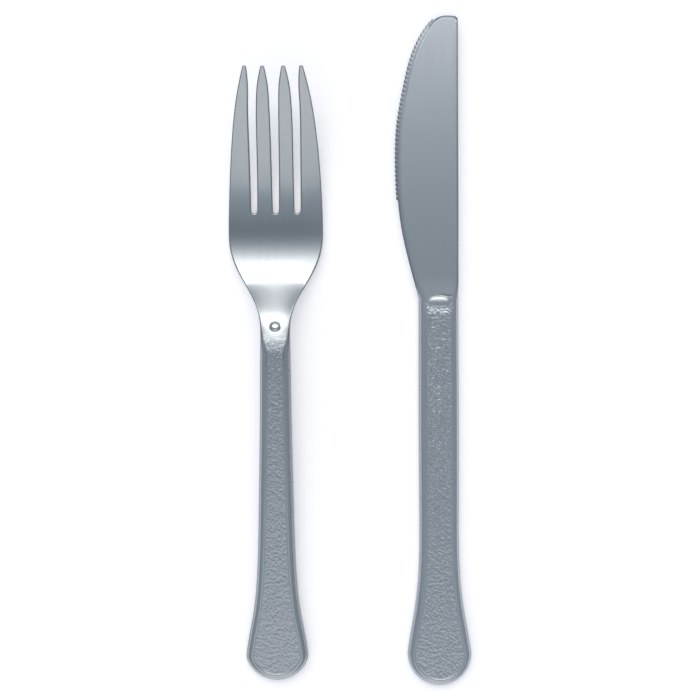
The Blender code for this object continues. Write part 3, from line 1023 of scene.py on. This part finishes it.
    def lower_rows(self, line: Outline) -> list[tuple[np.ndarray, np.ndarray]]:
        """Rows of the underside: the rim and the hollow back, and the bevel under the blade."""
        y = line.points[:, 1]
        share = self.to_blade(y)
        hollow = self.hollow(y)
        teeth, spine, squeeze = self._edge_parts(line)
        under = ((0, 1.0), (0.07, 0.94), (0.2, 0.83), (0.38, 0.68), (0.6, 0.48), (0.8, 0.32), (0.95, 0.2),
                 (1.06, 0.1), (1.15, 0), (1.35, 0))
        rows = []
        for (inset, lift, within), (on_edge, fall) in zip(self.handle_lower(), under):
            there = on_edge * squeeze
            out = teeth * (1 - fade(0, self.tooth_inset, on_edge))
            rounding = max(0.0, self.spine_round - on_edge)
            lift_there = np.where(spine, rounding, fall * self.bevel)
            lift_here = lift * hollow if within else lift
            rows.append((mix(inset, there - out, share), mix(lift_here, lift_there, share)))
        return rows


# ---- setting ----
@dataclass(frozen=True)
class Studio:
    """Pale table, soft light from all round and a camera straight above."""

    table_size: float = 6.0
    camera_height: float = 0.37
    camera_place: tuple[float, float] = (0.00005, 0.00025)
    frame_across: float = 0.203
    sensor: float = 36.0
    side: float = 0.36    # brightness at the sides
    side_fade: tuple[float, float] = (0.15, 0.6)
    table_light: float = 1.32    # light that falls on matt surfaces, where reflections have 1
    from_left: float = 0.9    # how much more of that comes from the left than from above
    # (lean towards the heads in degrees, brightness), from one horizon to the other
    sweep: Knots = ((-90, 0.9), (-60, 0.9), (-38, 0.88), (-25, 0.82), (-17, 0.74), (-14.5, 0.46), (-10, 0.41),
                    (-5, 0.36), (0, 0.28), (5, 0.21), (8, 0.2), (12, 0.27), (15, 0.56), (18, 1.3), (21, 2.3),
                    (24, 3.0), (35, 3.0), (38, 2.0), (41, 1.25), (50, 1.05), (60, 0.7), (90, 0.7))
    cool: tuple[float, float, float] = (0.88, 1.0, 1.1)
    warm: tuple[float, float, float] = (1.03, 1.0, 0.96)
    warm_from: tuple[float, float] = (0.3, 1.0)
    backdrop: tuple[float, float, float] = (0.98, 0.98, 0.985)

    def build_table(self) -> bpy.types.Object:
        """The table top, under the lowest point of the frame."""
        half = self.table_size / 2
        z = CAD_BOX[0].z
        mesh = bpy.data.meshes.new("table")
        corners = [(-half, -half, z), (half, -half, z), (half, half, z), (-half, half, z)]
        mesh.from_pydata(corners, [], [(0, 1, 2, 3)])
        mesh.materials.append(TableTop().material())
        table = bpy.data.objects.new("table", mesh)
        bpy.context.scene.collection.objects.link(table)
        return table

    def build_camera(self) -> bpy.types.Object:
        """The camera, looking straight down with +Y up."""
        data = bpy.data.cameras.new("camera")
        data.sensor_width = self.sensor
        data.lens = self.sensor * self.camera_height / self.frame_across
        data.clip_start = 0.01
        camera = bpy.data.objects.new("camera", data)
        camera.location = (*self.camera_place, self.camera_height)
        bpy.context.scene.collection.objects.link(camera)
        bpy.context.scene.camera = camera
        return camera

    def build_light(self) -> bpy.types.World:
        """Soft light from a white studio: dark straight above, a broad bright panel beyond the heads.

        Matt surfaces are given a stronger light than reflections show, and the camera sees a plain backdrop.
        """
        world = bpy.data.worlds.new("studio")
        world.use_nodes = True
        tree = world.node_tree
        tree.nodes.clear()
        direction = tree.nodes.new("ShaderNodeTexCoord").outputs["Generated"]
        parts = tree.nodes.new("ShaderNodeSeparateXYZ")
        tree.links.new(direction, parts.inputs[0])

        lean = self._math(tree, "ARCTAN2", parts.outputs["Y"], parts.outputs["Z"])
        share = self._math(tree, "MULTIPLY_ADD", lean, 1 / math.pi, 0.5)
        ramp = tree.nodes.new("ShaderNodeValToRGB")
        tree.links.new(share, ramp.inputs["Fac"])
        peak = max(level for _, level in self.sweep)
        points = ramp.color_ramp.elements
        while len(points) < len(self.sweep):
            points.new(0.5)
        for point, (angle, level) in zip(points, self.sweep):
            point.position = angle / 180 + 0.5
            tint = mix(np.array(self.cool), np.array(self.warm), fade(*self.warm_from, np.array(level)))
            point.color = (*(tint * level / peak), 1)

        sideways = self._math(tree, "ABSOLUTE", parts.outputs["X"])
        far = tree.nodes.new("ShaderNodeMapRange")
        far.interpolation_type = "SMOOTHSTEP"
        far.inputs["From Min"].default_value = self.side_fade[0]
        far.inputs["From Max"].default_value = self.side_fade[1]
        tree.links.new(sideways, far.inputs["Value"])
        level = tree.nodes.new("ShaderNodeMix")
        level.data_type = "RGBA"
        tree.links.new(far.outputs["Result"], level.inputs[0])
        tree.links.new(ramp.outputs["Color"], level.inputs[6])
        level.inputs[7].default_value = (*(np.array(self.cool) * self.side / peak), 1)
        rays = tree.nodes.new("ShaderNodeLightPath")
        tilt = self._math(tree, "MULTIPLY_ADD", parts.outputs["X"], -self.from_left, self.table_light)
        strength = tree.nodes.new("ShaderNodeMix")
        tree.links.new(rays.outputs["Is Diffuse Ray"], strength.inputs[0])
        strength.inputs[2].default_value = peak
        tree.links.new(self._math(tree, "MULTIPLY", tilt, peak), strength.inputs[3])
        lit = tree.nodes.new("ShaderNodeBackground")
        tree.links.new(strength.outputs[0], lit.inputs["Strength"])
        tree.links.new(level.outputs[2], lit.inputs["Color"])

        seen = tree.nodes.new("ShaderNodeBackground")
        seen.inputs["Color"].default_value = (*self.backdrop, 1)
        choose = tree.nodes.new("ShaderNodeMixShader")
        tree.links.new(rays.outputs["Is Camera Ray"], choose.inputs["Fac"])
        tree.links.new(lit.outputs[0], choose.inputs[1])
        tree.links.new(seen.outputs[0], choose.inputs[2])
        out = tree.nodes.new("ShaderNodeOutputWorld")
        tree.links.new(choose.outputs[0], out.inputs["Surface"])
        bpy.context.scene.world = world
        bpy.context.scene.view_settings.view_transform = "Standard"
        return world

    @staticmethod
    def _math(
        tree: bpy.types.NodeTree, operation: str, *values: bpy.types.NodeSocket | float
    ) -> bpy.types.NodeSocket:
        """A math node of some sockets and numbers.

        Args:
            tree: node tree that takes the node.
            operation: Blender's name for the sum.
            *values: its operands, in order.

        Returns:
            The result's socket.
        """
        node = tree.nodes.new("ShaderNodeMath")
        node.operation = operation
        for socket, value in zip(node.inputs, values):
            if isinstance(value, bpy.types.NodeSocket):
                tree.links.new(value, socket)
            else:
                socket.default_value = value
        return node.outputs[0]


def main() -> None:
    """Build the setting and both pieces."""
    logging.basicConfig(level=logging.INFO, format="%(name)s: %(message)s")
    studio = Studio()
    studio.build_camera()
    studio.build_light()
    LOG.info("%s: the pale floor", studio.build_table().name)
    button = Boss(
        BossForm.BUTTON, y=6.7, half_across=1.85, towards_handle=1.55, towards_head=1.55, stands=0.36
    )
    pillow = Boss(
        BossForm.PILLOW, y=13.6, half_across=3.1, towards_handle=1.3, towards_head=1.85, stands=0.36
    )
    bright = PigmentedPlastic("fork_silver_plastic", (0.485, 0.53, 0.575))
    # the knife's walls and crease keep more of their colour under the painted shade
    satin = PigmentedPlastic("knife_silver_plastic", (0.515, 0.56, 0.618), roughness=0.27, painted_shade_colour=0.6)
    Fork(node="fork", slot="fork_plastic", turn=math.radians(0.2), finish=bright, boss=button).build()
    Knife(node="knife", slot="knife_plastic", turn=math.radians(0.18), finish=satin, boss=pillow).build()


if __name__ == "__main__":
    main()
